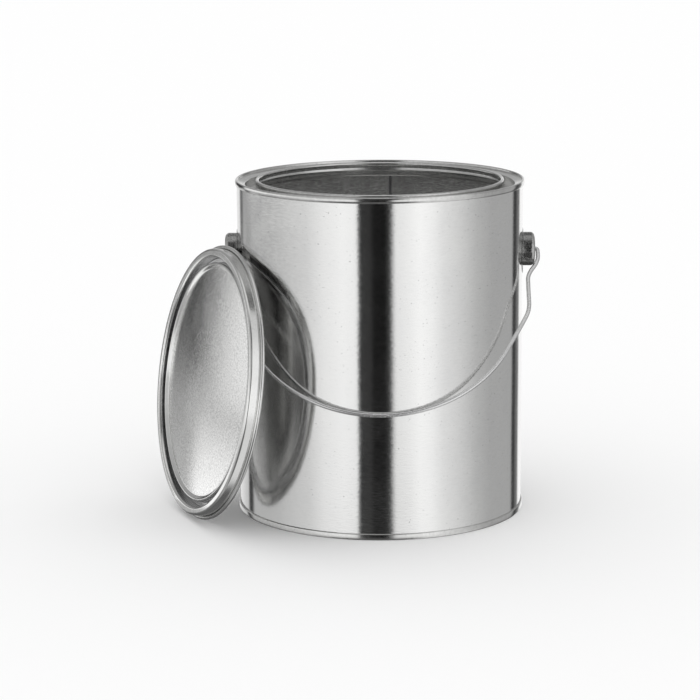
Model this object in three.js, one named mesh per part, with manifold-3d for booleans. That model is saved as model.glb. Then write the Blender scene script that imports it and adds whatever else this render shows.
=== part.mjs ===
// One-gallon friction-lid paint can: tinplate body, ring and ends, wire bail, and the lid leaning beside it.
// Millimetres, +Z up. The origin is on the can's axis at the floor, and the front of the can faces -Y.
import * as THREE from "three";
import { mergeVertices } from "three/addons/utils/BufferGeometryUtils.js";
import Module from "manifold-3d";

const wasm = await Module();
wasm.setup();

// Can body and its two double seams
const CAN_HEIGHT = 195;
const BODY_RADIUS = 83.3;
const SHEET = 0.26; // tinplate gauge
const FOLD_GAP = 0.05; // between the layers folded together in a seam
const SEAM_HEIGHT = 3.3;
const TURNS = 40; // facets round the can's axis
const WELD_WIDTH = 1.1;
const WELD_PROUD = 0.16;
const WELD_X = 6.5; // the side weld is at the back, this far right of the middle
// Friction ring
const GROOVE_OUTER = 78.3;
const GROOVE_INNER = 72.38;
const GROOVE_DEPTH = 8.3;
const SHOULDER_DEPTH = 2.7;
const CURL_RADIUS = 0.95; // of the rolled edge round the mouth
const MOUTH_RADIUS = 70.22;
// Lid
const LID_RADIUS = 80;
const LID_CURL = 1.02;
const PLUG_OUTER = 77.7;
const PLUG_INNER = 72.87;
const PLUG_DEPTH = 6.8; // from the middle of the lid's curl to the bottom of its plug
const STEP_RADIUS = 69.7;
const PANEL_RADIUS = 64;
const PANEL_DEPTH = 3.1;
const LID_TURN = THREE.MathUtils.degToRad(22.9); // from facing -X towards facing -Y
const LID_LEAN = THREE.MathUtils.degToRad(9.1); // back towards the can
const LID_CENTRE_X = -97.85;
const LID_CENTRE_Y = -25.35;
// Ears and bail
const EAR_HEIGHT = 153;
const EAR_RADIUS = 9.8;
const EAR_REACH = 90.4; // from the can's axis to the end of the cup
const EAR_SHEET = 0.5;
const EAR_CORNER = 2.4;
const EAR_GAP = 0.15; // between the flange and the body that it is welded to
const FLANGE_RADIUS = 13.6;
const EYE_RADIUS = 1.95;
const WIRE_RADIUS = 1.2;
const HEAD_RADIUS = 3;
const HEAD_THICK = 1.3;
const KNUCKLE_X = 92.15;
const ARM_X = 85.85; // the straight arms pass just outside the top seam
const ARM_END = 43;
const BOW_RADIUS = 80.7;
const BAIL_DROP = 116.8; // from the ears' axis to the middle of the bow
const REST_GAP = 0.3;
const BAIL_ANGLE = Math.asin((BODY_RADIUS + WIRE_RADIUS + REST_GAP) / BAIL_DROP); // forward of straight down

const tinplate = (color, roughness) =>
  new THREE.MeshStandardMaterial({ color, roughness, metalness: 1 });
const BODY_TIN = tinplate(0xc6c8ca, 0.16);
const END_TIN = tinplate(0xbcbec1, 0.24);
const EAR_TIN = tinplate(0xa9abae, 0.32);
const WIRE_STEEL = tinplate(0xb4b6b8, 0.3);
const COMPOUND = new THREE.MeshStandardMaterial({ color: 0x8c8f8a, roughness: 0.8, metalness: 0 });

const point = (x, y) => new THREE.Vector2(x, y);

// Points on an arc, both ends included. Angles are in degrees.
function arc(x, y, radius, from, to, steps) {
  const points = [];
  for (let i = 0; i <= steps; i++) {
    const angle = THREE.MathUtils.degToRad(from + ((to - from) * i) / steps);
    points.push(point(x + radius * Math.cos(angle), y + radius * Math.sin(angle)));
  }
  return points;
}

// The outline of a bent sheet, from the middle line of its section.
function sheetOutline(line, gauge) {
  const side = (sign) =>
    line.map((p, i) => {
      const before = p.clone().sub(line[Math.max(i - 1, 0)]).normalize();
      const after = line[Math.min(i + 1, line.length - 1)].clone().sub(p).normalize();
      const along = before.clone().add(after).normalize();
      const normal = point(-along.y, along.x);
      const straight = i === 0 ? after : before;
      const stretch = 1 / normal.dot(point(-straight.y, straight.x));
      return p.clone().addScaledVector(normal, (sign * gauge * stretch) / 2);
    });
  return [...side(1), ...side(-1).reverse()];
}

// Turns a closed outline of (radius, height) points round the Z axis.
function turned(outline, turns = TURNS) {
  const area = THREE.ShapeUtils.area(outline);
  const ring = area > 0 ? [...outline] : [...outline].reverse();
  return new THREE.LatheGeometry([...ring, ring[0]], turns).rotateX(Math.PI / 2);
}

// A sheet that reaches the axis, such as a lid or an end: its middle line starts at the rim and stops on the axis.
function turnedDisc(line, gauge, turns = TURNS) {
  const outline = sheetOutline(line, gauge);
  outline.forEach((p) => (p.x = Math.max(p.x, 0)));
  const half = outline.length / 2;
  const open = [...outline.slice(half), ...outline.slice(0, half)];
  const area = THREE.ShapeUtils.area(open);
  const path = area > 0 ? open : open.reverse();
  return new THREE.LatheGeometry(path, turns).rotateX(Math.PI / 2);
}

function solid(geometry) {
  const bare = geometry.clone();
  bare.deleteAttribute("normal");
  bare.deleteAttribute("uv");
  const merged = mergeVertices(bare, 1e-4);
  return new wasm.Manifold(
    new wasm.Mesh({
      numProp: 3,
      vertProperties: new Float32Array(merged.attributes.position.array),
      triVerts: new Uint32Array(merged.index.array),
    }),
  );
}

function geometryOf(manifold) {
  const mesh = manifold.getMesh();
  const geometry = new THREE.BufferGeometry();
  geometry.setAttribute("position", new THREE.BufferAttribute(mesh.vertProperties, 3));
  geometry.setIndex(new THREE.BufferAttribute(mesh.triVerts, 1));
  geometry.computeVertexNormals();
  return geometry;
}

const can = new THREE.Group();

function place(name, geometry, material, parent = can) {
  const mesh = new THREE.Mesh(geometry, material);
  mesh.name = name;
  parent.add(mesh);
  return mesh;
}

// The layers of a double seam, as radii to the middle of the sheet, from the inside out.
const LAYER = SHEET + FOLD_GAP;
const WALL = BODY_RADIUS - SHEET / 2;
const CHUCK_WALL = WALL - LAYER;
const COVER_HOOK = WALL + LAYER;
const BODY_HOOK = COVER_HOOK + LAYER;
const SEAM_WALL = BODY_HOOK + LAYER;
const HOOK_LENGTH = SEAM_HEIGHT - 1.1;
const SEAM_CORNER = 0.22;
const FOLD_CORNER = 0.16;

// An end's part of a seam, from the tip of its cover hook to the top of its chuck wall, as depths below the seam's top.
function seamFold(depthAt) {
  return [
    point(COVER_HOOK, depthAt(1.15)),
    point(COVER_HOOK, depthAt(SEAM_HEIGHT - SHEET / 2)),
    point(SEAM_WALL, depthAt(SEAM_HEIGHT - SHEET / 2)),
    point(SEAM_WALL, depthAt(SHEET / 2 + SEAM_CORNER)),
    point(SEAM_WALL - SEAM_CORNER, depthAt(SHEET / 2)),
    point(CHUCK_WALL + SEAM_CORNER, depthAt(SHEET / 2)),
    point(CHUCK_WALL, depthAt(SHEET / 2 + SEAM_CORNER)),
  ];
}

const fromTop = (depth) => CAN_HEIGHT - depth;
const fromBottom = (depth) => depth;

function bodyShell() {
  const fold = SHEET * 1.5 + FOLD_GAP;
  const hook = (depthAt) => [
    point(BODY_HOOK, depthAt(fold + HOOK_LENGTH)),
    point(BODY_HOOK, depthAt(fold + FOLD_CORNER)),
    point(BODY_HOOK - FOLD_CORNER, depthAt(fold)),
    point(WALL + FOLD_CORNER, depthAt(fold)),
    point(WALL, depthAt(fold + FOLD_CORNER)),
  ];
  const line = [...hook(fromBottom), ...hook(fromTop).reverse()];
  const wall = turned(sheetOutline(line, SHEET));
  const inside = Math.cos(Math.PI / TURNS) * (BODY_RADIUS - SHEET);
  const strip = new THREE.BoxGeometry(WELD_WIDTH, WELD_PROUD * 2, CAN_HEIGHT - 2 * SEAM_HEIGHT - 4);
  strip.translate(0, inside + 0.04, CAN_HEIGHT / 2);
  strip.rotateZ(-Math.asin(WELD_X / BODY_RADIUS));
  return geometryOf(solid(wall).add(solid(strip)));
}

function topRing() {
  const outerWall = GROOVE_OUTER + SHEET / 2;
  const innerWall = GROOVE_INNER - SHEET / 2;
  const floor = fromTop(GROOVE_DEPTH) - SHEET / 2;
  const curlX = MOUTH_RADIUS + SHEET / 2 + CURL_RADIUS;
  const line = [
    ...seamFold(fromTop),
    point(CHUCK_WALL, fromTop(1.4)),
    point(outerWall, fromTop(SHOULDER_DEPTH)),
    ...arc(outerWall - 1, floor + 1, 1, 0, -90, 2),
    ...arc(innerWall + 1, floor + 1, 1, -90, -180, 2),
    point(innerWall, fromTop(5.8)),
    point(innerWall - 0.45, fromTop(4.7)),
    point(innerWall, fromTop(3.6)),
    ...arc(curlX, fromTop(CURL_RADIUS + SHEET / 2), CURL_RADIUS, 0, 285, 6),
  ];
  return turned(sheetOutline(line, SHEET));
}

function bottomEnd() {
  const panel = 3.7;
  const line = [
    ...seamFold(fromBottom),
    point(CHUCK_WALL, panel - 0.6),
    point(CHUCK_WALL - 0.6, panel),
    point(77, panel),
    point(76, panel - 0.8),
    point(56, panel - 0.8),
    point(55, panel - 1.4),
    point(0, panel - 1.4),
  ];
  return turnedDisc(line, SHEET);
}

// Sealing compound between the tip of an end's cover hook and the fold of the body hook.
function seamCompound(depthAt) {
  const inner = BODY_RADIUS + FOLD_GAP;
  const [near, far] = [1.1, 0.7].map(depthAt);
  const corners = [point(inner, near), point(inner + SHEET, near), point(inner + SHEET, far), point(inner, far)];
  return turned(corners);
}

// The lid is turned about Z with its plug down, and its curl centred on the origin's plane.
function lidShape() {
  const curlX = LID_RADIUS - SHEET / 2 - LID_CURL;
  const outerWall = PLUG_OUTER - SHEET / 2;
  const innerWall = PLUG_INNER + SHEET / 2;
  const bottom = -PLUG_DEPTH + SHEET / 2;
  const arch = 0.5;
  const line = [
    ...arc(curlX, 0, LID_CURL, -140, 90, 5),
    point(outerWall, LID_CURL),
    ...arc(outerWall - 1.3, bottom + 1.3, 1.3, 0, -90, 2),
    ...arc(innerWall + 1.3, bottom + 1.3, 1.3, -90, -180, 2),
    point(innerWall, arch - 0.7),
    point(innerWall - 0.7, arch),
    point(STEP_RADIUS + 0.6, arch),
    point(STEP_RADIUS - SHEET / 2, arch - 0.7),
    point(STEP_RADIUS - SHEET / 2, -PANEL_DEPTH - 0.1),
    ...arc(STEP_RADIUS - 1.35, -PANEL_DEPTH + 0.35, 1.2, -30, -120, 2),
    point(PANEL_RADIUS, -PANEL_DEPTH + SHEET / 2),
    point(0, -PANEL_DEPTH + SHEET / 2),
  ];
  return turnedDisc(line, SHEET);
}

function leaningLid() {
  const outward = new THREE.Vector3(
    -Math.cos(LID_TURN) * Math.cos(LID_LEAN),
    -Math.sin(LID_TURN) * Math.cos(LID_LEAN),
    Math.sin(LID_LEAN),
  );
  const across = new THREE.Vector3(0, 0, 1).cross(outward).normalize();
  const upward = outward.clone().cross(across);
  const axes = new THREE.Matrix4().makeBasis(upward, across, outward.clone().negate());
  const lid = place("lid", lidShape(), END_TIN);
  lid.quaternion.setFromRotationMatrix(axes);
  const rim = LID_CURL + SHEET / 2;
  lid.position.set(LID_CENTRE_X, LID_CENTRE_Y, (LID_RADIUS - rim) * Math.cos(LID_LEAN) + rim);
}

// A stamped cup turned about its own axis and laid along +X, with its flange bent to the body.
function ear() {
  const end = EAR_REACH - EAR_SHEET / 2;
  const wall = EAR_RADIUS - EAR_SHEET / 2;
  const base = BODY_RADIUS + EAR_GAP + EAR_SHEET / 2;
  const corner = EAR_CORNER - EAR_SHEET / 2;
  const line = [
    point(EYE_RADIUS, end),
    ...arc(wall - corner, end - corner, corner, 90, 0, 3),
    point(wall, base + 1.2),
    point(wall + 1.2, base),
    point(FLANGE_RADIUS, base),
  ];
  const cup = turned(sheetOutline(line, EAR_SHEET), 24).rotateY(Math.PI / 2);
  const at = cup.attributes.position;
  for (let i = 0; i < at.count; i++) {
    const onFlange = Math.hypot(at.getY(i), at.getZ(i)) > EAR_RADIUS - EAR_SHEET - 0.1;
    const nearBody = at.getX(i) < base + 1.6;
    const drop = BODY_RADIUS - Math.sqrt(BODY_RADIUS ** 2 - at.getY(i) ** 2);
    if (onFlange && nearBody) at.setX(i, at.getX(i) - drop);
  }
  return cup;
}

// One arm of the bail from its head to the middle of the bow, as (x, drop) points below the ears' axis.
function bailArm() {
  const centre = BAIL_DROP - BOW_RADIUS;
  const bow = arc(0, centre, BOW_RADIUS, 26, 90, 14);
  return [
    point(EAR_REACH - EAR_SHEET - REST_GAP - HEAD_THICK, 0),
    point(EAR_REACH + 0.1, 0),
    ...arc(KNUCKLE_X - 1.5, 1.5, 1.5, -70, 0, 3),
    point(KNUCKLE_X + 0.05, 5),
    point(KNUCKLE_X - 0.25, 8),
    point(KNUCKLE_X - 1.5, 11.4),
    point(ARM_X + 1.5, 17),
    point(ARM_X + 0.15, 21),
    point(ARM_X, 26),
    point(ARM_X, 34),
    point(ARM_X - 0.05, ARM_END - 2),
    point(ARM_X - 0.9, ARM_END + 3),
    point(ARM_X - 4.4, ARM_END + 11),
    ...bow,
  ];
}

function bail() {
  const arm = bailArm();
  const otherArm = arm.slice(0, -1).reverse().map((p) => point(-p.x, p.y));
  const along = new THREE.Vector3(0, -Math.sin(BAIL_ANGLE), -Math.cos(BAIL_ANGLE));
  const points = [...arm, ...otherArm].map((p) => along.clone().multiplyScalar(p.y).setX(p.x));
  const path = new THREE.CatmullRomCurve3(points, false, "centripetal");
  path.getUtoTmapping = (u) => u; // one step from each point to the next, so that the tight knuckles stay round
  const section = new THREE.Shape(arc(0, 0, WIRE_RADIUS, 0, 315, 7));
  const wire = new THREE.ExtrudeGeometry(section, { steps: points.length - 1, bevelEnabled: false, extrudePath: path });
  const head = new THREE.CylinderGeometry(HEAD_RADIUS, HEAD_RADIUS, HEAD_THICK, 20).rotateZ(Math.PI / 2);
  const headX = EAR_REACH - EAR_SHEET - REST_GAP - HEAD_THICK / 2;
  const heads = [-1, 1].map((side) => solid(head.clone().translate(side * headX, 0, 0)));
  const whole = heads.reduce((sum, piece) => sum.add(piece), solid(wire));
  return geometryOf(whole);
}

place("body_shell", bodyShell(), BODY_TIN);
place("top_ring", topRing(), END_TIN);
place("bottom_end", bottomEnd(), END_TIN);
place("top_seam_compound", seamCompound(fromTop), COMPOUND);
place("bottom_seam_compound", seamCompound(fromBottom), COMPOUND);
for (const [name, turn] of [["ear_left", Math.PI], ["ear_right", 0]]) {
  const cup = place(name, ear().rotateZ(turn), EAR_TIN);
  cup.position.z = EAR_HEIGHT;
}
place("bail", bail(), WIRE_STEEL).position.z = EAR_HEIGHT;
leaningLid();

export default can;
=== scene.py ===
"""Looks of the one-gallon friction-lid paint can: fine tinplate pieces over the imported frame.

Metres, +Z up, front towards -Y. Lengths are named in millimetres and turned into metres as each mesh is made.
"""
from math import asin, cos, hypot, pi, radians, sin, sqrt

import bpy
from mathutils import Matrix, Vector, noise


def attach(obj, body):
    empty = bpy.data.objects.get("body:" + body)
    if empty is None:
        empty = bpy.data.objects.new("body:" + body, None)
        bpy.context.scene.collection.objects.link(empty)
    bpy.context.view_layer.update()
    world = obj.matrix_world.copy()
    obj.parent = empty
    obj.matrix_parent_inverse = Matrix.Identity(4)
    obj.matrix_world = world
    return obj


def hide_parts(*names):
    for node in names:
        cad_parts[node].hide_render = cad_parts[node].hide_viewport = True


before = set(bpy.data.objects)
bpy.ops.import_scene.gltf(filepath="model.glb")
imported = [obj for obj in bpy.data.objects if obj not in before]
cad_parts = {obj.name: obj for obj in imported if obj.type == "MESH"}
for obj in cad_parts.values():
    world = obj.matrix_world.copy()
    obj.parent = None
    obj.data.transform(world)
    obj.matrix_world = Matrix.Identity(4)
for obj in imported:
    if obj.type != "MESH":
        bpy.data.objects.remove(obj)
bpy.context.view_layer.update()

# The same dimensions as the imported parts, in millimetres
MM = 0.001
CAN_HEIGHT = 195
BODY_RADIUS = 83.3
SHEET = 0.26
FOLD_GAP = 0.05
SEAM_HEIGHT = 3.3
WELD_X = 6.5
GROOVE_OUTER = 78.3
GROOVE_INNER = 72.38
GROOVE_DEPTH = 8.3
SHOULDER_DEPTH = 2.7
CURL_RADIUS = 0.95
MOUTH_RADIUS = 70.22
LID_RADIUS = 80
LID_CURL = 1.02
PLUG_OUTER = 77.7
PLUG_INNER = 72.87
PLUG_DEPTH = 6.8
STEP_RADIUS = 69.7
LID_TURN = radians(22.9)
LID_LEAN = radians(9.1)
LID_CENTRE = (-97.85, -25.35)
EAR_HEIGHT = 153
EAR_RADIUS = 9.8
EAR_REACH = 90.4
EAR_SHEET = 0.5
EAR_CORNER = 2.4
EAR_GAP = 0.15
EYE_RADIUS = 1.95
WIRE_RADIUS = 1.2
HEAD_RADIUS = 3
HEAD_THICK = 1.3
KNUCKLE_X = 92.15
ARM_X = 85.85
ARM_END = 43
BOW_RADIUS = 80.7
BAIL_DROP = 116.8
REST_GAP = 0.3
BAIL_ANGLE = asin((BODY_RADIUS + WIRE_RADIUS + REST_GAP) / BAIL_DROP)

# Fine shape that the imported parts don't have, in millimetres
PANEL_FOOT = 66.4  # where the lid's panel meets its bead
BEAD_TOP = -4.5
PANEL_EDGE = -3
PANEL_DOME = 2.2
RECESS_FLOOR = -4.4  # the lid's recess gets painted shade above this height
FLANGE_RADIUS = 13.2
FLANGE_SAG = 1.1  # how much lower than its cup an ear's flange sits
WELD_LOW, WELD_HIGH = 3.7, 191.3
WELD_TOP, WELD_SHOULDER, WELD_FOOT, WELD_MARGIN = 0.4, 0.7, 0.85, 2.7  # half widths, from the ridge outwards
WELD_BURNT = 0.8  # faces nearer than this to the weld's middle are burnt
# Radius of each seam's rounded outer face, and the angle in degrees that the face turns each way
TOP_SEAM_BOW, TOP_SEAM_LEAN = 4.2, 17
FOOT_SEAM_BOW, FOOT_SEAM_LEAN = 17.7, 4

# The layers of a double seam, as radii to the middle of the sheet, from the inside out
LAYER = SHEET + FOLD_GAP
WALL = BODY_RADIUS - SHEET / 2
CHUCK_WALL = WALL - LAYER
COVER_HOOK = WALL + LAYER
BODY_HOOK = COVER_HOOK + LAYER
SEAM_WALL = BODY_HOOK + LAYER
HOOK_LENGTH = SEAM_HEIGHT - 1.1
TURNS = 256
FINE_TURNS = 320


# ---------------------------------------------------------------- shapes
def arc(x, y, radius, start, end, steps):
    """Points on an arc, both ends included, angles in degrees."""
    angles = [radians(start + (end - start) * i / steps) for i in range(steps + 1)]
    return [(x + radius * cos(a), y + radius * sin(a)) for a in angles]


def refined(line, longest=8.0, collar=0.2):
    """The same line with points close to both ends of each straight, and none further apart than longest."""
    points = [line[0]]
    for a, b in zip(line, line[1:]):
        length = hypot(b[0] - a[0], b[1] - a[1])
        stops = []
        if length > 4 * collar:
            inner = length - 2 * collar
            count = max(1, round(inner / longest))
            stops = [collar + inner * i / count for i in range(count + 1)]
        for s in stops + [length]:
            points.append((a[0] + (b[0] - a[0]) * s / length, a[1] + (b[1] - a[1]) * s / length))
    return points


def sheet_outline(line, gauge):
    """The outline of a bent sheet, from the middle line of its section."""
    sides = ([], [])
    for i, p in enumerate(line):
        before = Vector(p) - Vector(line[max(i - 1, 0)])
        after = Vector(line[min(i + 1, len(line) - 1)]) - Vector(p)
        before = before.normalized() if i else after.normalized()
        after = after.normalized() if i < len(line) - 1 else before
        along = (before + after).normalized()
        normal = Vector((-along.y, along.x))
        stretch = 1 / max(0.5, normal.dot(Vector((-before.y, before.x))))
        for side, sign in zip(sides, (1, -1)):
            side.append(tuple(Vector(p) + normal * sign * gauge * stretch / 2))
    return sides[0] + sides[1][::-1]


def mesh_object(name, points, faces, place=None):
    mesh = bpy.data.meshes.new(name)
    mesh.from_pydata([tuple(c * MM for c in p) for p in points], [], faces)
    mesh.validate()
    mesh.polygons.foreach_set("use_smooth", [True] * len(mesh.polygons))
    mesh.set_sharp_from_angle(angle=radians(50))
    if place is not None:
        mesh.transform(place)
    obj = bpy.data.objects.new(name, mesh)
    bpy.context.scene.collection.objects.link(obj)
    return obj


def turned(name, outline, turns=TURNS, shape=None, place=None):
    """Turns a closed outline of (radius, height) points round Z. shape(x, y, z) may move each point."""
    area = sum(a[0] * b[1] - b[0] * a[1] for a, b in zip(outline, outline[1:] + outline[:1]))
    ring = outline if area > 0 else outline[::-1]
    ring = [(max(r, 0), z) for r, z in ring]
    poles = [r < 1e-6 for r, z in ring]
    points, index = [], []
    for i in range(turns):
        angle = 2 * pi * i / turns
        column = []
        for k, (r, z) in enumerate(ring):
            if poles[k] and i:
                column.append(index[0][k])
                continue
            column.append(len(points))
            p = (r * cos(angle), r * sin(angle), z)
            points.append(shape(*p) if shape else p)
        index.append(column)
    faces = []
    for i in range(turns):
        near, far = index[i], index[(i + 1) % turns]
        for k in range(len(ring)):
            m = (k + 1) % len(ring)
            if poles[k] and poles[m]:
                continue
            corners = [near[k], far[k], far[m], near[m]]
            faces.append(list(dict.fromkeys(corners)))
    return mesh_object(name, points, faces, place)


def turned_sheet(name, line, longest=8.0, **more):
    """Turns tinplate whose section has this middle line."""
    return turned(name, sheet_outline(refined(line, longest), SHEET), **more)


def wire(name, path, across, radius, sides=20, place=None):
    """A round wire along a path that lies in the plane square to across."""
    points, faces = [], []
    for i, p in enumerate(path):
        along = (path[min(i + 1, len(path) - 1)] - path[max(i - 1, 0)]).normalized()
        side = across.cross(along)
        for k in range(sides):
            a = 2 * pi * k / sides
            points.append(p + across * radius * cos(a) + side * radius * sin(a))
    for i in range(len(path) - 1):
        for k in range(sides):
            m = (k + 1) % sides
            faces.append((i * sides + k, i * sides + m, (i + 1) * sides + m, (i + 1) * sides + k))
    faces.append(tuple(range(sides))[::-1])
    last = (len(path) - 1) * sides
    faces.append(tuple(last + k for k in range(sides)))
    return mesh_object(name, points, faces, place)


def between(a, b, start, end, u):
    """The point that lies at u on the way from a, at start, to b, at end."""
    return a * ((end - u) / (end - start)) + b * ((u - start) / (end - start))


def smooth_path(points, steps=6):
    """A centripetal Catmull-Rom curve through the points."""
    ends = [points[0] * 2 - points[1]] + list(points) + [points[-1] * 2 - points[-2]]
    path = [points[0]]
    for p0, p1, p2, p3 in zip(ends, ends[1:], ends[2:], ends[3:]):
        t = [0]
        for a, b in ((p0, p1), (p1, p2), (p2, p3)):
            t.append(t[-1] + (b - a).length ** 0.5)
        for i in range(1, steps + 1):
            u = t[1] + (t[2] - t[1]) * i / steps
            a = between(p0, p1, t[0], t[1], u)
            b = between(p1, p2, t[1], t[2], u)
            c = between(p2, p3, t[2], t[3], u)
            path.append(between(between(a, b, t[0], t[2], u), between(b, c, t[1], t[3], u), t[1], t[2], u))
    return path


# ---------------------------------------------------------------- can
def seam_fold(depth_at, bow, lean):
    """An end's part of a double seam, from the tip of its cover hook to the top of its chuck wall.

    bow is the radius of its slightly rounded outer face, and lean the angle that the face turns each way.
    """
    half, fold, bend, top = SHEET / 2, 0.36, 0.5, 0.42
    middle = SEAM_HEIGHT / 2
    face = arc(SEAM_WALL - bow, middle, bow, lean, -lean, 8)
    low_x, low_d = face[0][0] - fold * cos(radians(lean)), face[0][1] - fold * sin(radians(lean))
    high_x, high_d = face[-1][0] - bend * cos(radians(lean)), face[-1][1] + bend * sin(radians(lean))
    line = (
        [(COVER_HOOK, 1.15), (COVER_HOOK, low_d + fold - 0.1), (COVER_HOOK + 0.1, low_d + fold)]
        + arc(low_x, low_d, fold, 90, lean, 5)[:-1]
        + face
        + arc(high_x, high_d, bend, -lean, -90, 6)[1:]
        + arc(CHUCK_WALL + top, high_d - bend + top, top, -90, -180, 6)
    )
    rise = high_d - bend - half
    return [(x, depth_at(d - rise)) for x, d in line]


def from_top(depth):
    return CAN_HEIGHT - depth


def from_bottom(depth):
    return depth


def dented(x, y, z):
    """The slight waviness of thin sheet rolled into a cylinder."""
    edge = min(1, max(0, z - 6) / 25, max(0, 189 - z) / 25)
    r = hypot(x, y)
    wave = noise.noise(Vector((x / 42, y / 42, z / 30)))
    fine = noise.noise(Vector((x / 17 + 9, y / 17, z / 12)))
    grow = 1 + edge * (0.045 * wave - 0.02 + 0.008 * fine) / r
    return (x * grow, y * grow, z)


def body_hook(depth_at):
    """The body wall's turned-over edge inside a seam, from its tip to the wall."""
    fold, corner = SHEET * 1.5 + FOLD_GAP, 0.16
    return [
        (BODY_HOOK, depth_at(fold + HOOK_LENGTH)),
        (BODY_HOOK, depth_at(fold + corner)),
        (BODY_HOOK - corner, depth_at(fold)),
        (WALL + corner, depth_at(fold)),
        (WALL, depth_at(fold + corner)),
    ]


def body_shell():
    """The wall of the can, hooked into both seams."""
    line = body_hook(from_bottom) + body_hook(from_top)[::-1]
    return turned_sheet("can_body", line, longest=3.0, turns=FINE_TURNS, shape=dented)


def weld_strip(name, radius, proud):
    """The side weld on the back of the body wall: a burnt ridge between two bare, flush margins."""
    turn = pi / 2 - asin(WELD_X / BODY_RADIUS)
    side = 1 if proud > 0 else -1
    flush, sunk = 0.012 * side, -0.05 * side
    ridge = [(WELD_TOP, proud), (WELD_SHOULDER, proud * 0.6), (WELD_FOOT, flush)]
    ridge += [(WELD_MARGIN, flush), (WELD_MARGIN, sunk)]
    section = [(-across, rise) for across, rise in ridge[-2::-1]] + ridge + [(-WELD_MARGIN, sunk)]
    rows, n = 60, len(section)
    points, faces = [], []
    for i in range(rows + 1):
        z = WELD_LOW + (WELD_HIGH - WELD_LOW) * i / rows
        swell = 1 + 0.15 * noise.noise(Vector((0, radius, z / 4)))
        for across, rise in section:
            angle = turn + across * (swell if abs(across) < 1 else 1) / radius
            r = radius + rise
            points.append(dented(r * cos(angle), r * sin(angle), z))
    for i in range(rows):
        for k in range(n):
            m = (k + 1) % n
            quad = (i * n + k, i * n + m, (i + 1) * n + m, (i + 1) * n + k)
            faces.append(quad if side < 0 else quad[::-1])
    ends = [tuple(range(n)), tuple(rows * n + k for k in range(n))[::-1]]
    faces += ends if side > 0 else [e[::-1] for e in ends]
    return mesh_object(name, points, faces)


def top_ring():
    """The friction ring: seam, chuck wall, groove, inner wall with its bead, and the curl round the mouth."""
    outer, inner = GROOVE_OUTER + SHEET / 2, GROOVE_INNER - SHEET / 2
    floor = from_top(GROOVE_DEPTH) - SHEET / 2
    curl_x = MOUTH_RADIUS + SHEET / 2 + CURL_RADIUS
    line = (
        seam_fold(from_top, TOP_SEAM_BOW, TOP_SEAM_LEAN)
        + [(CHUCK_WALL, from_top(1.3)), (CHUCK_WALL - 0.25, from_top(1.55))]
        + [(outer + 0.2, from_top(SHOULDER_DEPTH - 0.06)), (outer, from_top(SHOULDER_DEPTH + 0.14))]
        + arc(outer - 1, floor + 1, 1, 0, -90, 6)
        + arc(inner + 1, floor + 1, 1, -90, -180, 6)
        + [(inner, from_top(5.8)), (inner - 0.14, from_top(5.35)), (inner - 0.38, from_top(4.95))]
        + [(inner - 0.45, from_top(4.7)), (inner - 0.38, from_top(4.45)), (inner - 0.14, from_top(4.05))]
        + [(inner, from_top(3.6))]
        + arc(curl_x, from_top(CURL_RADIUS + SHEET / 2), CURL_RADIUS, 0, 285, 20)
    )
    return turned_sheet("friction_ring", line)


def bottom_end():
    """The can's floor, a disc in three shallow steps inside its seam."""
    panel = 3.7
    line = (
        seam_fold(from_bottom, FOOT_SEAM_BOW, FOOT_SEAM_LEAN)
        + [(CHUCK_WALL, panel - 0.6)]
        + arc(CHUCK_WALL - 0.6, panel - 0.6, 0.6, 0, 90, 4)[1:]
        + [(77, panel), (76.7, panel - 0.1), (76.3, panel - 0.7), (76, panel - 0.8)]
        + [(56, panel - 0.8), (55.7, panel - 0.88), (55.3, panel - 1.32), (55, panel - 1.4), (0, panel - 1.4)]
    )
    return turned_sheet("can_bottom", line)


# ---------------------------------------------------------------- lid
def lid():
    """The lid, made lying down and leant on the can, and the matrix that leans it there."""
    curl_x = LID_RADIUS - SHEET / 2 - LID_CURL
    outer, inner = PLUG_OUTER - SHEET / 2, PLUG_INNER + SHEET / 2
    bottom = -PLUG_DEPTH + SHEET / 2
    arch, step = 0.5, STEP_RADIUS - SHEET / 2
    line = (
        arc(curl_x, 0, LID_CURL, -140, 90, 18)
        + arc(outer + 0.3, LID_CURL - 0.3, 0.3, 90, 180, 4)
        + arc(outer - 1.3, bottom + 1.3, 1.3, 0, -90, 8)
        + arc(inner + 1.3, bottom + 1.3, 1.3, -90, -180, 8)
        + arc(inner - 0.7, arch - 0.7, 0.7, 0, 90, 5)
        + arc(step + 0.7, arch - 0.7, 0.7, 90, 180, 5)
        + arc(step - 1.1, BEAD_TOP + 1.1, 1.1, 0, -90, 8)
    )
    bead, steps, panel_rings = step - 1.1, 10, 14
    for k in range(1, steps + 1):
        drop = (1 - cos(pi * k / steps)) / 2
        line.append((bead + (PANEL_FOOT - bead) * k / steps, BEAD_TOP + (PANEL_EDGE - BEAD_TOP) * drop))
    rings = [PANEL_FOOT * k / panel_rings for k in range(panel_rings - 1, -1, -1)]
    line += [(r, PANEL_EDGE - PANEL_DOME * (1 - (r / PANEL_FOOT) ** 2)) for r in rings]
    outward = Vector((-cos(LID_TURN) * cos(LID_LEAN), -sin(LID_TURN) * cos(LID_LEAN), sin(LID_LEAN)))
    across = Vector((0, 0, 1)).cross(outward).normalized()
    upward = outward.cross(across)
    rim = LID_CURL + SHEET / 2
    centre = Vector((*LID_CENTRE, (LID_RADIUS - rim) * cos(LID_LEAN) + rim)) * MM
    place = Matrix((upward, across, -outward)).transposed().to_4x4()
    place.translation = centre
    return turned_sheet("lid_plate", line, place=place, turns=FINE_TURNS), place


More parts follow.
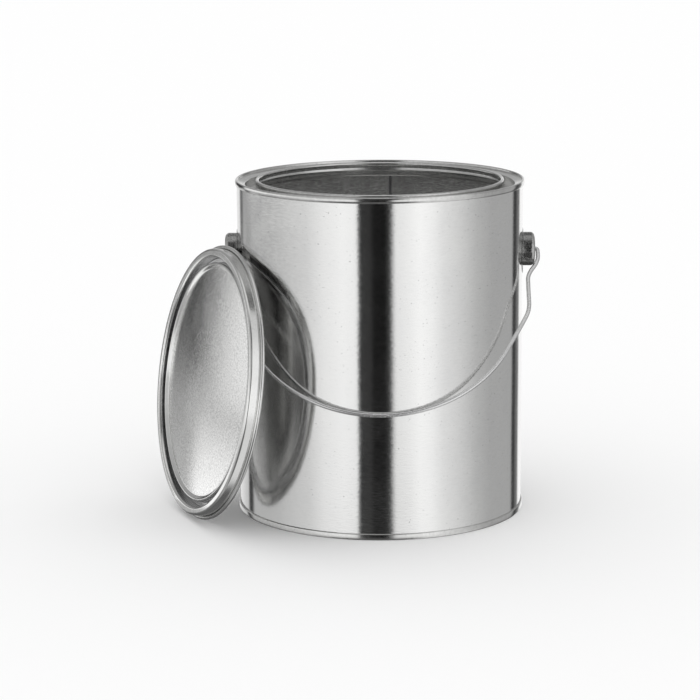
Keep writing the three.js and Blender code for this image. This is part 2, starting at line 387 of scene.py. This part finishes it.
# ---------------------------------------------------------------- ears and bail
def on_ear_axis(side):
    """Puts a piece made round +Z on the ears' axis, pointing out of the can on one side."""
    lay = Matrix(((0, 0, side, 0), (0, 1, 0, 0), (-side, 0, 0, 0), (0, 0, 0, 1)))
    return Matrix.Translation((0, 0, EAR_HEIGHT * MM)) @ lay


def ear(name, side):
    """A drawn cup whose flange thins out to its rim and reaches a little lower than the cup does."""
    end, wall = EAR_REACH - EAR_SHEET / 2, EAR_RADIUS - EAR_SHEET / 2
    base = BODY_RADIUS + EAR_GAP
    corner = EAR_CORNER - EAR_SHEET / 2
    cup = [(EYE_RADIUS, end)] + arc(wall - corner, end - corner, corner, 90, 0, 10) + [(wall, base + 2.2)]
    shell = sheet_outline(refined(cup, longest=2.0), EAR_SHEET)
    middle = len(shell) // 2
    fillet = arc(EAR_RADIUS + 0.2, base + 0.62, 0.2, 180, 262, 4)
    taper = [(EAR_RADIUS + 0.17 + (FLANGE_RADIUS - EAR_RADIUS - 0.17) * k / 5, base + 0.42 - 0.3 * k / 5)
             for k in range(6)]
    under = [(r, base) for r in (FLANGE_RADIUS, FLANGE_RADIUS - 1.2, EAR_RADIUS + 1, EAR_RADIUS - 0.2)]
    heel = [(EAR_RADIUS - EAR_SHEET, base + 0.4)]
    outline = shell[:middle] + fillet + taper[1:] + under + heel + shell[middle:]

    def bent(x, y, z):
        sag = side * FLANGE_SAG * min(1, max(0, (hypot(x, y) - EAR_RADIUS - 0.3) / 1.2))
        drop = BODY_RADIUS - sqrt(BODY_RADIUS ** 2 - y * y)
        near = min(1, max(0, (base + 2.2 - z) / 1.0))
        return (x + sag, y, z - drop * near)

    return turned(name, outline, turns=96, shape=bent, place=on_ear_axis(side))


def bail():
    centre = BAIL_DROP - BOW_RADIUS
    arm = (
        [(EAR_REACH - EAR_SHEET - REST_GAP - HEAD_THICK, 0), (EAR_REACH + 0.1, 0)]
        + arc(KNUCKLE_X - 1.5, 1.5, 1.5, -70, 0, 3)
        + [(KNUCKLE_X + 0.05, 5), (KNUCKLE_X - 0.25, 8), (KNUCKLE_X - 1.5, 11.4), (ARM_X + 1.5, 17)]
        + [(ARM_X + 0.15, 21), (ARM_X, 26), (ARM_X, 34), (ARM_X - 0.05, ARM_END - 2)]
        + [(ARM_X - 0.9, ARM_END + 3), (ARM_X - 4.4, ARM_END + 11)]
        + arc(0, centre, BOW_RADIUS, 26, 90, 14)
    )
    both = arm + [(-x, d) for x, d in arm[-2::-1]]
    down = Vector((0, -sin(BAIL_ANGLE), -cos(BAIL_ANGLE)))
    points = [Vector((x, 0, EAR_HEIGHT)) + down * d for x, d in both]
    across = Vector((0, cos(BAIL_ANGLE), -sin(BAIL_ANGLE)))
    return wire("bail_wire", smooth_path(points), across, WIRE_RADIUS)


def wire_head(name, side):
    """The upset head on one end of the wire, inside its ear."""
    outer = EAR_REACH - EAR_SHEET - REST_GAP
    outline = (
        [(0, outer - HEAD_THICK)]
        + arc(HEAD_RADIUS - 0.4, outer - HEAD_THICK + 0.4, 0.4, -90, 0, 4)
        + arc(HEAD_RADIUS - 0.3, outer - 0.3, 0.3, 0, 90, 4)
        + [(0, outer)]
    )
    return turned(name, outline, turns=32, place=on_ear_axis(side))


# ---------------------------------------------------------------- materials
class Nodes:
    """Short calls for building a node tree."""

    def __init__(self, tree):
        self.tree = tree

    def add(self, kind, **values):
        node = self.tree.nodes.new(kind)
        for key, value in values.items():
            setattr(node, key, value)
        return node

    def link(self, source, target):
        self.tree.links.new(source, target)

    def coords(self, scale, output="Object", place=None):
        tex = self.add("ShaderNodeTexCoord")
        mapping = self.add("ShaderNodeMapping")
        mapping.inputs["Scale"].default_value = scale
        source = tex.outputs[output]
        if place is not None:
            back = self.add("ShaderNodeMapping")
            inverse = place.inverted()
            back.inputs["Rotation"].default_value = inverse.to_euler("XYZ")
            back.inputs["Location"].default_value = inverse.translation
            self.link(source, back.inputs["Vector"])
            source = back.outputs["Vector"]
        self.link(source, mapping.inputs["Vector"])
        return mapping.outputs["Vector"]

    def noise(self, scale, detail=3.0, roughness=0.5, **where):
        tex = self.add("ShaderNodeTexNoise")
        tex.inputs["Scale"].default_value = 1.0
        tex.inputs["Detail"].default_value = detail
        tex.inputs["Roughness"].default_value = roughness
        self.link(self.coords(scale, **where), tex.inputs["Vector"])
        return tex.outputs["Fac"]

    def remap(self, value, low, high, to_low, to_high):
        node = self.add("ShaderNodeMapRange")
        for key, number in zip(("From Min", "From Max", "To Min", "To Max"), (low, high, to_low, to_high)):
            node.inputs[key].default_value = number
        self.link(value, node.inputs["Value"])
        return node.outputs["Result"]

    def math(self, operation, a, b=None):
        node = self.add("ShaderNodeMath", operation=operation)
        for socket, value in zip(node.inputs, (a, b)):
            if value is None:
                continue
            if isinstance(value, (int, float)):
                socket.default_value = value
            else:
                self.link(value, socket)
        return node.outputs[0]

    def mix(self, factor, a, b):
        node = self.add("ShaderNodeMix", data_type="RGBA")
        self.link(factor, node.inputs["Factor"])
        for socket, value in ((node.inputs[6], a), (node.inputs[7], b)):
            if isinstance(value, (tuple, list)):
                socket.default_value = (*value, 1) if len(value) == 3 else value
            else:
                self.link(value, socket)
        return node.outputs[2]

    def bump(self, height, distance, strength=1.0, under=None):
        node = self.add("ShaderNodeBump")
        node.inputs["Distance"].default_value = distance
        node.inputs["Strength"].default_value = strength
        self.link(height, node.inputs["Height"])
        if under is not None:
            self.link(under, node.inputs["Normal"])
        return node.outputs["Normal"]


def even(frequency):
    return (frequency, frequency, frequency)


def metal(name, light, dark, rough, rough_spread, grain, grain_depth, mottle, mottle_depth, place=None,
          grit=0.03, smear=0.0, metallic=1.0):
    """Tinplate or wire: a rolling grain, a softer mottle, cloudy tone and gloss, and a few fine specks.

    grain and mottle are (x, y, z) noise frequencies per metre; their depths are in metres. grit is how much
    darker the tone gets in the hollows of the grain. smear is how strongly the gloss is stretched, in the
    shader's own tangent direction where it is negative and square to that where it is positive.
    """
    material = bpy.data.materials.new(name)
    material.use_nodes = True
    shader = material.node_tree.nodes["Principled BSDF"]
    n = Nodes(material.node_tree)
    cloud = n.noise((38, 38, 30), detail=4, roughness=0.6)
    grains = n.noise(grain, detail=2, place=place)
    specks = n.noise(even(900), detail=1)
    tone = n.mix(n.remap(cloud, 0.35, 0.65, 0, 1), dark, light)
    tone = n.mix(n.remap(grains, 0.6, 0.35, 0, grit), tone, (0, 0, 0))
    tone = n.mix(n.remap(specks, 0.72, 0.78, 0, 0.55), tone, tuple(c * 0.35 for c in dark))
    n.link(tone, shader.inputs["Base Color"])
    gloss = n.math("ADD", n.remap(cloud, 0.3, 0.7, -rough_spread, rough_spread),
                   n.remap(grains, 0.3, 0.7, rough - rough_spread, rough + rough_spread))
    n.link(gloss, shader.inputs["Roughness"])
    shader.inputs["Metallic"].default_value = metallic
    shader.inputs["Anisotropic"].default_value = abs(smear)
    shader.inputs["Anisotropic Rotation"].default_value = 0.25 if smear > 0 else 0.0
    normal = n.bump(grains, grain_depth)
    normal = n.bump(n.noise(mottle, detail=3, place=place), mottle_depth, under=normal)
    n.link(normal, shader.inputs["Normal"])
    return material


def plain_compound():
    """Dull sealing compound, dried a little unevenly."""
    material = bpy.data.materials.new("seam_compound_dry")
    material.use_nodes = True
    shader = material.node_tree.nodes["Principled BSDF"]
    n = Nodes(material.node_tree)
    patches = n.noise(even(300), detail=4)
    n.link(n.mix(n.remap(patches, 0.3, 0.7, 0, 1), (0.42, 0.40, 0.34), (0.6, 0.58, 0.52)),
           shader.inputs["Base Color"])
    n.link(n.remap(patches, 0.3, 0.7, 0.6, 0.85), shader.inputs["Roughness"])
    n.link(n.bump(patches, 0.00004), shader.inputs["Normal"])
    return material


def finish_with(obj, material, body, *nodes, slot=None):
    obj.data.materials.clear()
    obj.data.materials.append(material)
    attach(obj, body)
    if nodes:
        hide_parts(*nodes)


def also_finish(obj, material, chosen):
    """Gives the chosen faces of a piece another material."""
    obj.data.materials.append(material)
    for face in obj.data.polygons:
        if chosen(face):
            face.material_index = len(obj.data.materials) - 1


# ---------------------------------------------------------------- studio
# Brightness of the studio round the can, by compass angle from the front towards +X, just below eye level:
# two large soft boxes with a narrow black gap between them in front, grey side walls, and a white wall behind
# that starts at the edge of two dark stands.
AROUND_LOW = [
    (-180, 0.86), (-155, 0.84), (-151, 0.20), (-146, 0.15), (-142, 0.40), (-100, 0.41), (-78, 0.56),
    (-62, 0.72), (-46, 0.92), (-30, 1.04), (-18.5, 1.0), (-16.5, 0.035), (-8, 0.03), (-5, 0.004), (4, 0.003),
    (8, 0.05), (12, 0.9), (32, 1.08), (42, 1.0), (52, 0.84), (66, 0.70), (84, 0.50), (100, 0.42),
    (133, 0.40), (136, 0.05), (141, 0.05), (145, 0.16), (150, 0.2), (154, 1.0), (180, 0.95),
]
# The same round above eye level, where the room behind is darker,
AROUND_HIGH = [
    (-180, 0.42), (-165, 0.42), (-155, 0.3), (-120, 0.3), (-60, 0.5), (-24, 0.6), (-13, 0.05), (12, 0.05),
    (24, 0.75), (50, 0.9), (70, 0.7), (90, 0.35), (150, 0.35), (165, 0.42), (180, 0.42),
]
# high up,
AROUND_TOP = [
    (-180, 0.16), (-120, 0.4), (-60, 0.4), (-25, 0.1), (25, 0.1), (60, 0.62), (80, 0.6), (180, 0.16),
]
AROUND_ZENITH = [(-180, 0.7), (180, 0.7)]
# and over the table under it all, which is darker in front and behind.
AROUND_FLOOR = [
    (-180, 0.12), (-150, 0.1), (-110, 0.16), (-85, 0.4), (-60, 0.4), (-30, 0.12), (25, 0.12), (40, 0.75),
    (75, 0.7), (105, 0.3), (135, 0.1), (180, 0.12),
]
# The lid faces the back left, where a white screen stands beside the dark stand at the height of the lid.
LID_SIDE = [(-163, 0.5), (-157, 0.05), (-138, 0.03), (-131, 0.9), (-112, 1.05), (-60, 0.85)]
# Lower down the screen is greyer and the stand's foot stands further round.
LID_FOOT = [(-155, 0.75), (-139, 0.6), (-136, 0.05), (-130, 0.06), (-126, 0.5), (-90, 0.55), (-60, 0.7)]
FLOOR_TONE = (0.95, 0.95, 0.95)
MATT_LIGHT = (0.95, 0.95, 0.95)
STUDIO_STRENGTH = 1.1  # the tones above go up to this


def ring_of_light(n, angle, stops):
    """The colour of a ring at an angle that runs from 0, at -180 degrees, to 1."""
    ramp = n.add("ShaderNodeValToRGB")
    elements = ramp.color_ramp.elements
    while len(elements) > 1:
        elements.remove(elements[-1])
    for i, (degrees_round, light) in enumerate(stops):
        position = degrees_round / 360 + 0.5
        element = elements[0] if i == 0 else elements.new(position)
        element.position = position
        level = light / STUDIO_STRENGTH
        element.color = (level, level, level, 1)
    n.link(angle, ramp.inputs["Fac"])
    return ramp.outputs["Color"]


def patched(stops, patch):
    """The ring with the stretch that the patch covers taken from the patch."""
    first, last = patch[0][0], patch[-1][0]
    return [s for s in stops if s[0] < first] + patch + [s for s in stops if s[0] > last]


def studio_world():
    """The studio that the tin mirrors. Matt surfaces and the view beyond the floor get plain white light."""
    world = bpy.data.worlds.new("studio")
    bpy.context.scene.world = world
    world.use_nodes = True
    n = Nodes(world.node_tree)
    background = world.node_tree.nodes["Background"]
    direction = n.add("ShaderNodeTexCoord").outputs["Generated"]
    parts = n.add("ShaderNodeSeparateXYZ")
    n.link(direction, parts.inputs[0])
    x, y, z = parts.outputs
    angle = n.math("ARCTAN2", x, n.math("MULTIPLY", y, -1.0))
    angle = n.math("ADD", n.math("MULTIPLY", angle, 1 / (2 * pi)), 0.5)
    # Each ring starts to show at one height of the direction and is full at the next
    rings = [
        ((-0.4, -0.285), patched(AROUND_LOW, LID_FOOT)),
        ((-0.19, -0.165), AROUND_LOW),
        ((-0.13, -0.095), patched(AROUND_LOW, LID_SIDE)),
        ((0.1, 0.16), AROUND_HIGH),
        ((0.5, 0.75), AROUND_TOP),
        ((0.86, 0.96), AROUND_ZENITH),
    ]
    room = ring_of_light(n, angle, AROUND_FLOOR)
    for (start, full), stops in rings:
        room = n.mix(n.remap(z, start, full, 0, 1), room, ring_of_light(n, angle, stops))
    mirrored = n.add("ShaderNodeLightPath").outputs["Is Glossy Ray"]
    n.link(n.mix(mirrored, MATT_LIGHT, room), background.inputs["Color"])
    background.inputs["Strength"].default_value = STUDIO_STRENGTH


def pale_floor():
    """White paper out to the horizon. The tin mirrors the studio's own table instead."""
    size = 30000
    corners = [(-size, -size, 0), (size, -size, 0), (size, size, 0), (-size, size, 0)]
    floor = mesh_object("floor", corners, [(0, 1, 2, 3)])
    material = bpy.data.materials.new("floor_paper")
    material.use_nodes = True
    shader = material.node_tree.nodes["Principled BSDF"]
    shader.inputs["Base Color"].default_value = (*FLOOR_TONE, 1)
    shader.inputs["Roughness"].default_value = 0.9
    shader.inputs["Specular IOR Level"].default_value = 0.0
    floor.data.materials.append(material)
    floor.visible_glossy = False


def bounce_card():
    """A lit card lying behind the lid's foot, fading away from it. Only the tin shows it."""
    far_edge, near_edge = -0.6, -0.16
    corners = [(-185, -45), (-640, 320), (-540, 430), (-150, 12)]
    card = mesh_object("bounce_card", [(x, y, 1) for x, y in corners], [(0, 3, 2, 1)])
    material = bpy.data.materials.new("card_light")
    material.use_nodes = True
    shader = material.node_tree.nodes["Principled BSDF"]
    n = Nodes(material.node_tree)
    parts = n.add("ShaderNodeSeparateXYZ")
    n.link(n.coords((1, 1, 1)), parts.inputs[0])
    shader.inputs["Base Color"].default_value = (0, 0, 0, 1)
    shader.inputs["Specular IOR Level"].default_value = 0.0
    shader.inputs["Emission Color"].default_value = (1, 1, 1, 1)
    n.link(n.remap(parts.outputs[0], far_edge, near_edge, 0.4, 1.15), shader.inputs["Emission Strength"])
    card.data.materials.append(material)
    card.visible_camera = card.visible_diffuse = card.visible_shadow = False


CAMERA_PLACE = (0, -1.439, 0.3881)  # metres
CAMERA_LENS = 127.95
CAMERA_PITCH, CAMERA_YAW, CAMERA_ROLL = 11.6, -0.71, -0.31  # degrees


def camera():
    """A long lens in front of the can, at twice the can's height and aimed slightly down."""
    data = bpy.data.cameras.new("camera")
    data.lens, data.sensor_width = CAMERA_LENS, 36
    data.clip_start, data.clip_end = 0.05, 100
    pitch, yaw, roll = (radians(angle) for angle in (CAMERA_PITCH, CAMERA_YAW, CAMERA_ROLL))
    forward = Vector((sin(yaw) * cos(pitch), cos(yaw) * cos(pitch), -sin(pitch)))
    level = Vector((cos(yaw), -sin(yaw), 0))
    top = level.cross(forward)
    right = level * cos(roll) + top * sin(roll)
    up = top * cos(roll) - level * sin(roll)
    obj = bpy.data.objects.new("camera", data)
    turn = Matrix((right, up, -forward)).transposed().to_4x4()
    obj.matrix_world = Matrix.Translation(CAMERA_PLACE) @ turn
    bpy.context.scene.collection.objects.link(obj)
    bpy.context.scene.camera = obj


# ---------------------------------------------------------------- faces
def faces_inwards(face):
    return face.center.x * face.normal.x + face.center.y * face.normal.y < 0


def on_burnt_weld(face):
    from_middle = Matrix.Rotation(asin(WELD_X / BODY_RADIUS), 3, "Z") @ face.center
    return abs(from_middle.x) < WELD_BURNT * MM


def on_ear_wall(face):
    """Whether the face is on the drawn wall of an ear, which gets painted shade."""
    out, reach = abs(face.center.x) / MM, hypot(face.center.y, face.center.z - EAR_HEIGHT * MM) / MM
    return out < EAR_REACH - EAR_CORNER * 0.7 and EAR_RADIUS - 0.3 < reach < EAR_RADIUS + 0.3


def on_panel(to_lid):
    """Chooses the faces of the lid's panel and bead. to_lid brings a point to the lid's own lying frame."""
    return lambda face: (to_lid @ face.center).xy.length < PANEL_FOOT * MM


def in_recess(to_lid):
    """Chooses the faces of the dished ring between the lid's plug and its bead, which get painted shade."""
    def chosen(face):
        centre = to_lid @ face.center / MM
        return STEP_RADIUS - 1.3 < centre.xy.length < PLUG_INNER + 0.1 and RECESS_FLOOR < centre.z

    return chosen


# ---------------------------------------------------------------- assembly
camera()
studio_world()
pale_floor()
bounce_card()
bpy.context.scene.view_settings.view_transform = "Standard"

lid_piece, lid_place = lid()
to_lid = lid_place.inverted()

# Body and ring. The grain of the wall runs round the can.
body_tin = metal(
    "body_tin", (0.88, 0.88, 0.87), (0.84, 0.84, 0.835), rough=0.12, rough_spread=0.02,
    grain=(300, 300, 1100), grain_depth=22e-6, mottle=even(60), mottle_depth=1.2e-6, smear=0.85,
)
inner_tin = metal(
    "inner_tin", (0.97, 0.97, 0.96), (0.88, 0.88, 0.87), rough=0.13, rough_spread=0.05,
    grain=(450, 450, 1700), grain_depth=20e-6, mottle=even(1100), mottle_depth=8e-6, grit=0.3, metallic=0.86,
)
ring_tin = metal(
    "ring_tin", (0.82, 0.82, 0.81), (0.74, 0.74, 0.73), rough=0.15, rough_spread=0.03,
    grain=even(500), grain_depth=4e-6, mottle=even(120), mottle_depth=2e-6, grit=0.08, smear=0.5,
)
bare_tin = metal(
    "bare_tin", (0.94, 0.94, 0.93), (0.88, 0.88, 0.87), rough=0.2, rough_spread=0.03,
    grain=even(500), grain_depth=10e-6, mottle=(160, 160, 200), mottle_depth=10e-6,
)
weld_burn = metal(
    "weld_burn", (0.3, 0.3, 0.31), (0.16, 0.16, 0.17), rough=0.4, rough_spread=0.05,
    grain=even(800), grain_depth=6e-6, mottle=even(1500), mottle_depth=10e-6,
)
# Lid. Its recess is darker tin: painted shade and painted dark reflection, in place of the shade and the dark
# things that a real studio would mirror there.
lid_tin = metal(
    "lid_tin", (0.92, 0.92, 0.91), (0.87, 0.87, 0.86), rough=0.18, rough_spread=0.02,
    grain=even(500), grain_depth=1e-6, mottle=even(120), mottle_depth=1e-6, place=lid_place,
)
panel_tin = metal(
    "panel_tin", (0.96, 0.96, 0.95), (0.9, 0.9, 0.89), rough=0.17, rough_spread=0.03,
    grain=even(1100), grain_depth=14e-6, mottle=even(600), mottle_depth=5e-6, place=lid_place, grit=0.27,
)
recess_painted_shade_tin = metal(
    "recess_painted_shade_tin", (0.72, 0.72, 0.72), (0.62, 0.62, 0.62), rough=0.2, rough_spread=0.03,
    grain=even(500), grain_depth=1e-6, mottle=even(120), mottle_depth=1e-6, place=lid_place,
)
# Ears and bail. The ears' walls are darker tin: painted shade and painted dark reflection, as on the lid's
# recess.
ear_tin = metal(
    "ear_tin", (0.78, 0.78, 0.77), (0.64, 0.64, 0.63), rough=0.2, rough_spread=0.05,
    grain=even(900), grain_depth=6e-6, mottle=even(180), mottle_depth=4e-6, grit=0.2,
)
ear_wall_painted_shade_tin = metal(
    "ear_wall_painted_shade_tin", (0.52, 0.52, 0.515), (0.36, 0.36, 0.355), rough=0.28, rough_spread=0.06,
    grain=even(1100), grain_depth=10e-6, mottle=even(180), mottle_depth=4e-6, grit=0.4,
)
wire_steel = metal(
    "wire_steel", (0.95, 0.95, 0.95), (0.88, 0.88, 0.88), rough=0.24, rough_spread=0.03,
    grain=even(1200), grain_depth=2e-6, mottle=even(150), mottle_depth=2e-6, grit=0.15, smear=-0.85,
)

can_body = body_shell()
finish_with(can_body, body_tin, "can", "body_shell", slot="tinplate")
also_finish(can_body, inner_tin, faces_inwards)
finish_with(top_ring(), ring_tin, "can", "top_ring", slot="tinplate")
finish_with(bottom_end(), ring_tin, "can", "bottom_end", slot="tinplate")
for name, radius, proud in (("weld_inside", BODY_RADIUS - SHEET, -0.14), ("weld_outside", BODY_RADIUS, 0.08)):
    strip = weld_strip(name, radius, proud)
    finish_with(strip, bare_tin, "can", slot="tinplate")
    also_finish(strip, weld_burn, on_burnt_weld)

for name, side in (("left", -1), ("right", 1)):
    cup = ear(f"ear_{name}_cup", side)
    finish_with(cup, ear_tin, "can", f"ear_{name}", slot="tinplate")
    # The ear's wall gets darker tin: painted shade and painted dark reflection.
    also_finish(cup, ear_wall_painted_shade_tin, on_ear_wall)
    finish_with(wire_head(f"bail_head_{name}", side), wire_steel, "bail", slot="wire")
finish_with(bail(), wire_steel, "bail", "bail", slot="wire")

finish_with(lid_piece, lid_tin, "lid", "lid", slot="lid_tinplate")
also_finish(lid_piece, panel_tin, on_panel(to_lid))
# The recess gets darker tin: painted shade and painted dark reflection.
also_finish(lid_piece, recess_painted_shade_tin, in_recess(to_lid))

compound = plain_compound()
for name in ("top_seam_compound", "bottom_seam_compound"):
    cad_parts[name].material_slots[0].material = compound
